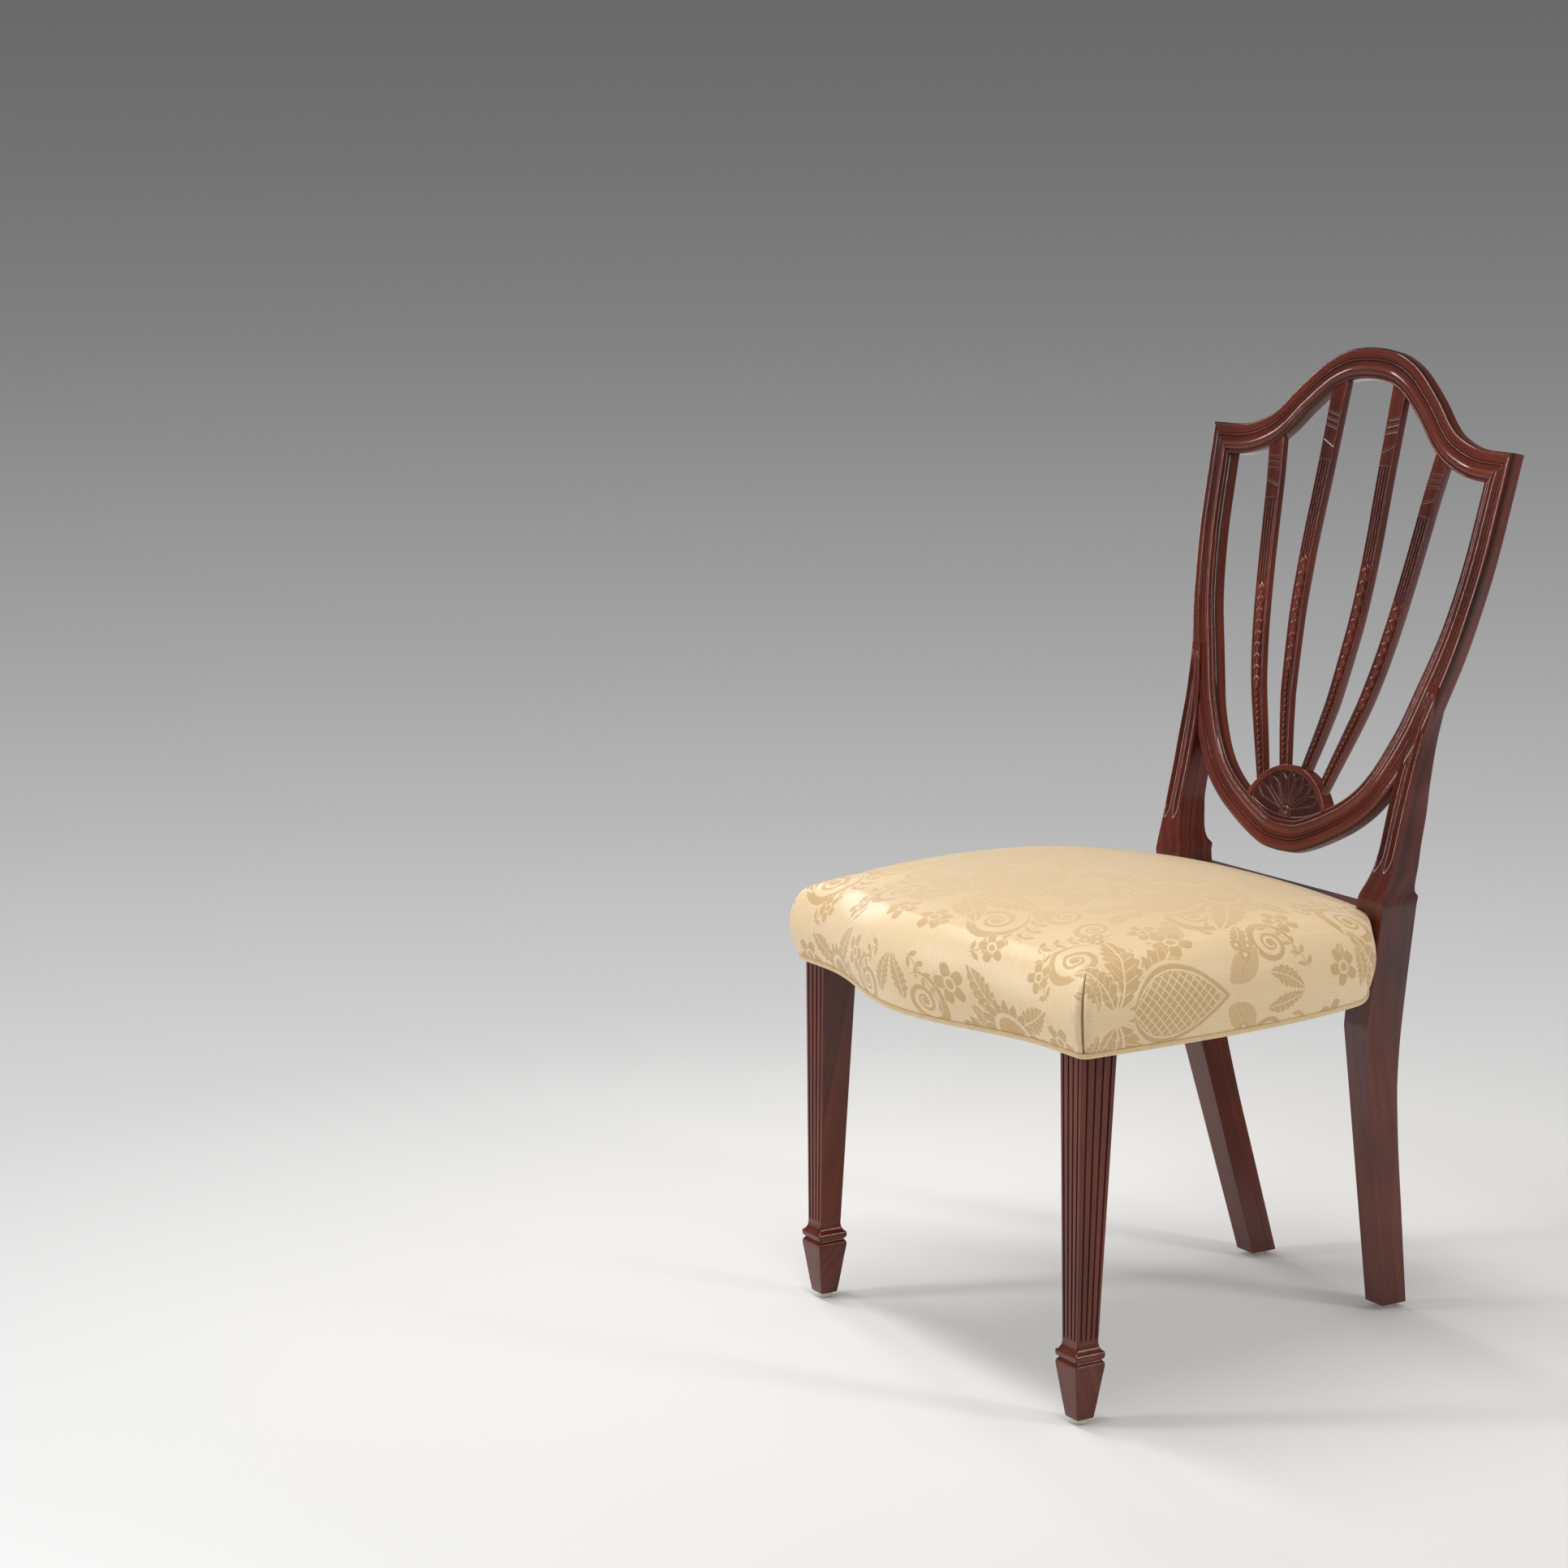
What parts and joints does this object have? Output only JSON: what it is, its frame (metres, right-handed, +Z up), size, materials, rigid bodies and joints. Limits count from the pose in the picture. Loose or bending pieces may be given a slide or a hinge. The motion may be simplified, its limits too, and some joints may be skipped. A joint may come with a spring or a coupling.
{
  "type": "shield back dining chair",
  "caption": "Armless dining chair with a moulded shield back, carved curving ribs over a fan lunette, grooved tapered front legs with spade feet, and a damask seat with a serpentine front.",
  "frame": {"origin": "on the floor, at the middle of the bottom of the box round the chair", "axes": "+Z up, the chair faces -Y, +X is the right of someone who faces it"},
  "size_m": [0.518, 0.5976, 0.9645],
  "materials": {
    "mahogany": "polished dark red-brown mahogany",
    "beech": "raw, unfinished",
    "damask": "satin damask, pale gold ground with a darker gold figure",
    "stuffing": "hair and wadding",
    "jute": "plain woven jute",
    "cambric": "black dust cloth",
    "glide_nylon": "moulded",
    "zinc_steel": "zinc plated"
  },
  "bodies": {
    "root": {"corner_block_front_left": "beech", "corner_block_front_right": "beech", "corner_block_rear_left": "beech", "corner_block_rear_right": "beech", "crest_rail": "mahogany", "dust_cover": "cambric", "front_leg_left": "mahogany", "front_leg_right": "mahogany", "front_seat_rail": "beech", "glide_front_left": "glide_nylon", "glide_front_right": "glide_nylon", "glide_rear_left": "glide_nylon", "glide_rear_right": "glide_nylon", "hessian": "jute", "lunette": "mahogany", "rear_post_left": "mahogany", "rear_post_right": "mahogany", "rear_seat_rail": "mahogany", "rib_inner_left": "mahogany", "rib_inner_right": "mahogany", "rib_outer_left": "mahogany", "rib_outer_right": "mahogany", "screw_front_rail_left": "zinc_steel", "screw_front_rail_right": "zinc_steel", "screw_rear_rail_left": "zinc_steel", "screw_rear_rail_right": "zinc_steel", "screw_side_rail_front_left": "zinc_steel", "screw_side_rail_front_right": "zinc_steel", "screw_side_rail_rear_left": "zinc_steel", "screw_side_rail_rear_right": "zinc_steel", "seat_cover": "damask", "seat_stuffing": "stuffing", "shield_base": "mahogany", "side_rail_left": "beech", "side_rail_right": "beech", "web_crosswise_1": "jute", "web_crosswise_2": "jute", "web_crosswise_3": "jute", "web_lengthwise_1": "jute", "web_lengthwise_2": "jute", "web_lengthwise_3": "jute", "web_lengthwise_4": "jute", "welt": "damask"}
  },
  "joints": []
}
